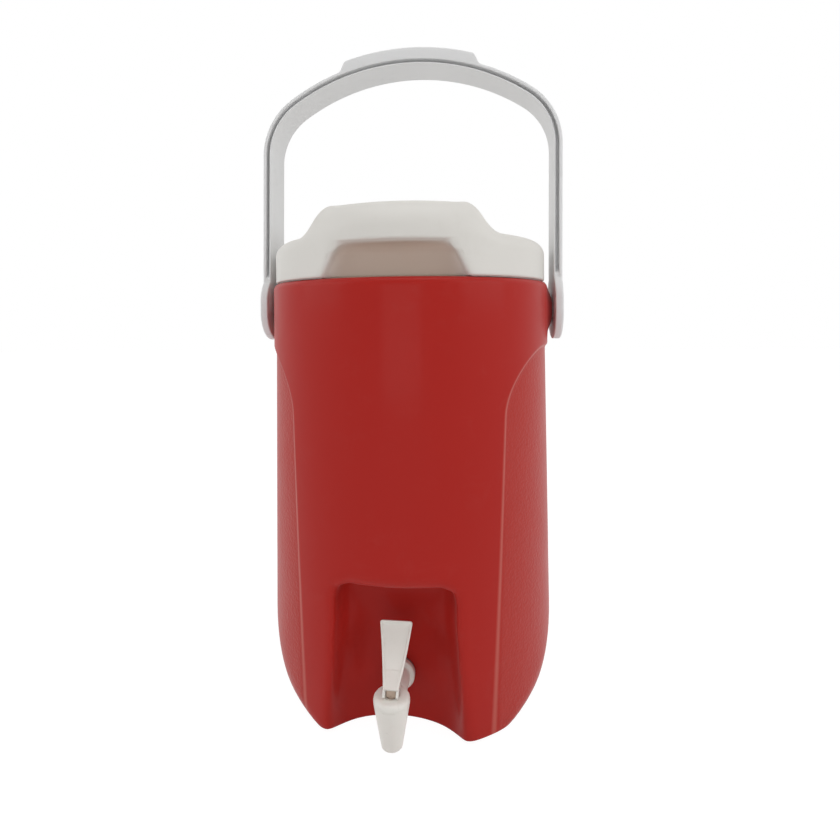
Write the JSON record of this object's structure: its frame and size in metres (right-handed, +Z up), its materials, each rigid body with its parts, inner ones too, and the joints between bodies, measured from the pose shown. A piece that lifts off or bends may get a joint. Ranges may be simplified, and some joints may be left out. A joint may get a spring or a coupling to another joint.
{
  "type": "water cooler jug",
  "caption": "Round insulated drink jug with a lift-off lid, a swinging bail handle and a lever tap in a front alcove.",
  "frame": {"origin": "centre of the round base, on the surface that the jug stands on", "axes": "+Z up along the body's axis, the tap faces -Y, the bail's pivots lie along X"},
  "size_m": [0.2624, 0.2558, 0.5321],
  "materials": {
    "red_plastic": "satin moulded",
    "white_plastic": "satin moulded",
    "bail_plastic": "satin moulded",
    "tap_plastic": "smooth moulded",
    "tan_rubber": "moulded",
    "dark_rubber": "moulded",
    "foam": "rigid foam",
    "steel": "drawn"
  },
  "bodies": {
    "jug": {"outer_shell": "red_plastic", "foam_fill": "foam", "inner_liner": "white_plastic", "fill_plug": "red_plastic", "pivot_pin_left": "bail_plastic", "pivot_pin_right": "bail_plastic", "tap_body": "tap_plastic", "flange_washer": "dark_rubber", "inner_washer": "dark_rubber", "shank_nut": "tap_plastic", "tap_bonnet": "tap_plastic", "bonnet_seal": "dark_rubber", "stem_spring": "steel"},
    "bail": {"bail_handle": "bail_plastic"},
    "lid_seal": {"lid_gasket": "dark_rubber"},
    "lid": {"lid_cover": "white_plastic", "lid_liner": "white_plastic", "lid_foam": "foam"},
    "valve": {"valve_stem": "tan_rubber", "valve_plug": "dark_rubber", "lever_pin": "steel"},
    "lever": {"tap_lever": "tap_plastic"}
  },
  "joints": [
    {"name": "bail_swing", "type": "hinge", "parent": "jug", "child": "bail", "pos_m": [0, 0, 0.303], "axis": [1, 0, 0], "range_deg": [-140, 140]},
    {"name": "lid_lift", "type": "slide", "parent": "jug", "child": "lid_seal", "axis": [0, 0, 1], "range_m": [0, 0.1]},
    {"name": "lid_twist", "type": "hinge", "parent": "lid_seal", "child": "lid", "pos_m": [0, 0, 0.326], "axis": [0, 0, 1], "continuous": true},
    {"name": "stem_lift", "type": "slide", "parent": "jug", "child": "valve", "axis": [0, 0, 1], "range_m": [0, 0.003], "stiffness_N_per_m": 150, "deforming": ["stem_spring"]},
    {"name": "lever_pull", "type": "hinge", "parent": "valve", "child": "lever", "pos_m": [0, -0.1245, 0.048], "axis": [1, 0, 0], "range_deg": [0, 50]}
  ],
  "couplings": [
    {"joint": "lever_pull", "follows": "stem_lift", "rad_per_m": 290.89}
  ]
}
